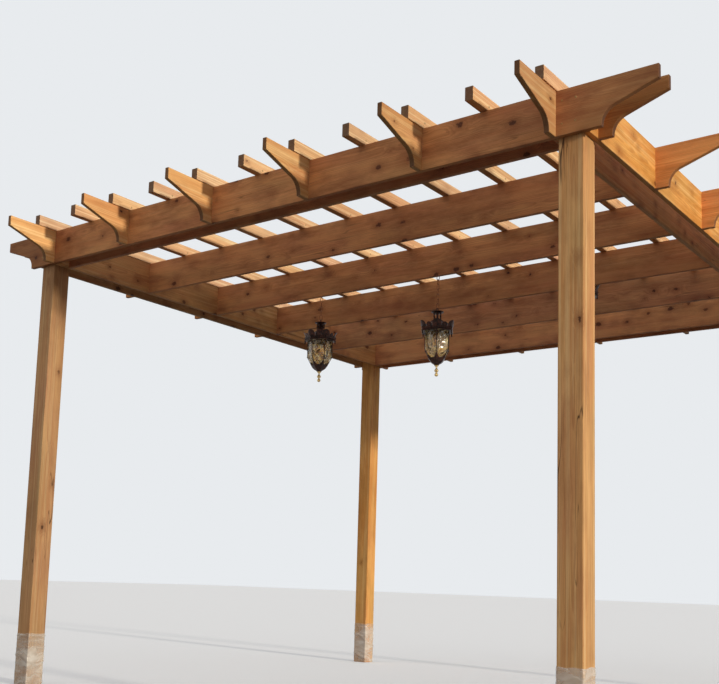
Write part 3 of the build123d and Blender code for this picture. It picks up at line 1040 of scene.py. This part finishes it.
metal = lantern_metal()
brass = lantern_brass()
for side in SIDES:
    low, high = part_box("lantern_frame_" + side)
    place = hanging_line(low, high, side) @ raised(low.z - FINIAL_FOOT)
    keep(copy_of(metal, "lantern_body_" + side, place), BRONZE, "lantern_metal", "lantern_frame_" + side)
    keep(copy_of(brass, "lantern_brass_" + side, place), BRASS, "lantern_metal")
    dress(solids["lantern_glass_" + side], GLASS)
bpy.data.objects.remove(metal)
bpy.data.objects.remove(brass)


# Screws: one countersunk head is modelled and set at every fixing

SCREW_SPREAD = 0.030
SCREW_JITTER = 0.002
SCREW_HEIGHTS = {"front": (0.050, 0.148), "back": (0.050, 0.148),
                 "left": (0.046, 0.150), "right": (0.046, 0.150)}
OUTER_BOARD_LINE = 1.710
FACE_UP = {
    "-y": Matrix.Rotation(math.pi / 2, 4, "X"),
    "+y": Matrix.Rotation(-math.pi / 2, 4, "X"),
    "+x": Matrix.Rotation(math.pi / 2, 4, "Y"),
    "-x": Matrix.Rotation(-math.pi / 2, 4, "Y"),
}
SCREWED_LINES = [BAY * (step - BAY_COUNT / 2) for step in range(BAY_COUNT + 1)]
SCREWED_LINES += [-OUTER_BOARD_LINE, OUTER_BOARD_LINE]


def screw_row(name, places):
    """Screw heads at the places given, each with the way that it faces, joined to one piece."""
    head = smooth(turned_piece("screw_head", [
        (0.0042, -0.0004), (0.0045, 0.0001), (0.0042, 0.0004), (0.0022, 0.00055), (0.0018, -0.0002)], 12), 40)
    heads = [copy_of(head, f"{name}_{step}", Matrix.Translation(spot) @ FACE_UP[way])
             for step, (spot, way) in enumerate(places)]
    bpy.data.objects.remove(head)
    keep(joined(name, heads), ZINC, "chain_metal")


def post_screws(side, way):
    """Four screws through one side's outer board into each of its two posts."""
    low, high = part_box(side + "_beam_outer")
    face = low if way[0] == "-" else high
    places = []
    for corner in CORNERS:
        if side not in corner:
            continue
        post = middle_of("post_" + corner)
        for along in (-SCREW_SPREAD, SCREW_SPREAD):
            for up in SCREW_HEIGHTS[side]:
                jitter = dice.uniform(-SCREW_JITTER, SCREW_JITTER)
                if way[1] == "y":
                    spot = (post.x + along + jitter, face.y, BEAM_UNDERSIDE + up)
                else:
                    spot = (face.x, post.y + along + jitter, BEAM_UNDERSIDE + up)
                places.append((spot, way))
    screw_row("screws_" + side, places)


def slat_screws():
    """One screw driven at a slant through each slat wherever it crosses a board."""
    places = []
    for name in sorted(solids):
        if not name.startswith("slat"):
            continue
        low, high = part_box(name)
        for line in SCREWED_LINES:
            way = dice.choice(("-x", "+x"))
            face = low.x if way == "-x" else high.x
            spot = (face, line + dice.uniform(-0.004, 0.004), BEAM_TOP + dice.uniform(0.018, 0.026))
            places.append((spot, way))
    screw_row("screws_slats", places)


for side, way in (("front", "-y"), ("back", "+y"), ("left", "-x"), ("right", "+x")):
    post_screws(side, way)
slat_screws()


# Floor, light and camera

VIEW_WIDTH = 719
VIEW_HEIGHT = 684
FOCAL_LENGTH = 1043.314
OPTICAL_CENTRE = (327.234, 443.307)
SENSOR_WIDTH = 36
CAMERA_PLACE = (3.3744, -5.4344, 0.6399)
CAMERA_ANGLES = (37.783, 7.5319, 1.9039)


def seen_directly(w, rays):
    """Mask of the rays that show a surface straight, reflected or through glass."""
    seen = w.math("MAXIMUM", rays.outputs["Is Camera Ray"], rays.outputs["Is Transmission Ray"])
    return w.math("MAXIMUM", seen, rays.outputs["Is Glossy Ray"])


def plain_floor():
    """Pale floor that throws little light back up under the boards."""
    floor = add_piece("floor", bpy.ops.mesh.primitive_plane_add, size=120, location=(0, 0, -0.001))
    made, w, bsdf = new_material("pale_floor")
    rays = w.node("ShaderNodeLightPath")
    seen = seen_directly(w, rays)
    w.feed(bsdf["Base Color"], w.mix(seen, linear(58, 50, 42), linear(242, 244, 248)))
    bsdf["Emission Color"].default_value = linear(240, 242, 246)
    w.feed(bsdf["Emission Strength"], w.math("MULTIPLY", rays.outputs["Is Camera Ray"], 0.13))
    bsdf["Roughness"].default_value = 0.9
    floor.data.materials.append(made)
    settle(floor)


def plain_sky():
    world = bpy.data.worlds.new("studio")
    bpy.context.scene.world = world
    world.use_nodes = True
    w = Wiring(world.node_tree)
    light = world.node_tree.nodes["Background"]
    light.inputs["Color"].default_value = (1.0, 0.98, 0.95, 1)
    light.inputs["Strength"].default_value = 0.42
    shown = w.node("ShaderNodeBackground")
    shown.inputs["Color"].default_value = linear(232, 235, 238)
    shown.inputs["Strength"].default_value = 1.0
    both = w.node("ShaderNodeMixShader")
    w.feed(both.inputs[0], seen_directly(w, w.node("ShaderNodeLightPath")))
    w.feed(both.inputs[1], light.outputs[0])
    w.feed(both.inputs[2], shown.outputs[0])
    w.feed(world.node_tree.nodes["World Output"].inputs["Surface"], both.outputs[0])


def lamp(name, energy, angle, colour, towards):
    light = bpy.data.lights.new(name, "SUN")
    light.energy = energy
    light.angle = math.radians(angle)
    light.color = colour
    holder = bpy.data.objects.new(name, light)
    bpy.context.scene.collection.objects.link(holder)
    holder.rotation_euler = Vector(towards).to_track_quat("-Z", "Y").to_euler()


def set_camera():
    """Camera low down near the front-right corner, looking up to the left.

    The focal length and the optical centre are in pixels of the view."""
    yaw, pitch, roll = (math.radians(angle) for angle in CAMERA_ANGLES)
    forward = Vector((-math.sin(yaw) * math.cos(pitch), math.cos(yaw) * math.cos(pitch), math.sin(pitch)))
    right = Vector((math.cos(yaw), math.sin(yaw), 0))
    up = right.cross(forward)
    rolled_right = math.cos(roll) * right + math.sin(roll) * up
    rolled_up = -math.sin(roll) * right + math.cos(roll) * up
    camera = bpy.data.cameras.new("view")
    camera.sensor_fit = "HORIZONTAL"
    camera.sensor_width = SENSOR_WIDTH
    camera.lens = FOCAL_LENGTH * SENSOR_WIDTH / VIEW_WIDTH
    camera.shift_x = (VIEW_WIDTH / 2 - OPTICAL_CENTRE[0]) / VIEW_WIDTH
    camera.shift_y = (OPTICAL_CENTRE[1] - VIEW_HEIGHT / 2) / VIEW_WIDTH
    camera.clip_end = 500
    holder = bpy.data.objects.new("view", camera)
    bpy.context.scene.collection.objects.link(holder)
    turn = Matrix((rolled_right, rolled_up, -forward)).transposed().to_4x4()
    holder.matrix_world = Matrix.Translation(CAMERA_PLACE) @ turn
    bpy.context.scene.camera = holder


plain_floor()
plain_sky()
lamp("key", energy=2.7, angle=4, colour=(1.0, 0.92, 0.78), towards=(-0.965, 0.155, -0.185))
lamp("fill", energy=0.30, angle=70, colour=(1.0, 0.98, 0.95), towards=(0.25, 0.80, -0.55))
set_camera()
bpy.context.scene.view_settings.view_transform = "Standard"

pick_nothing()
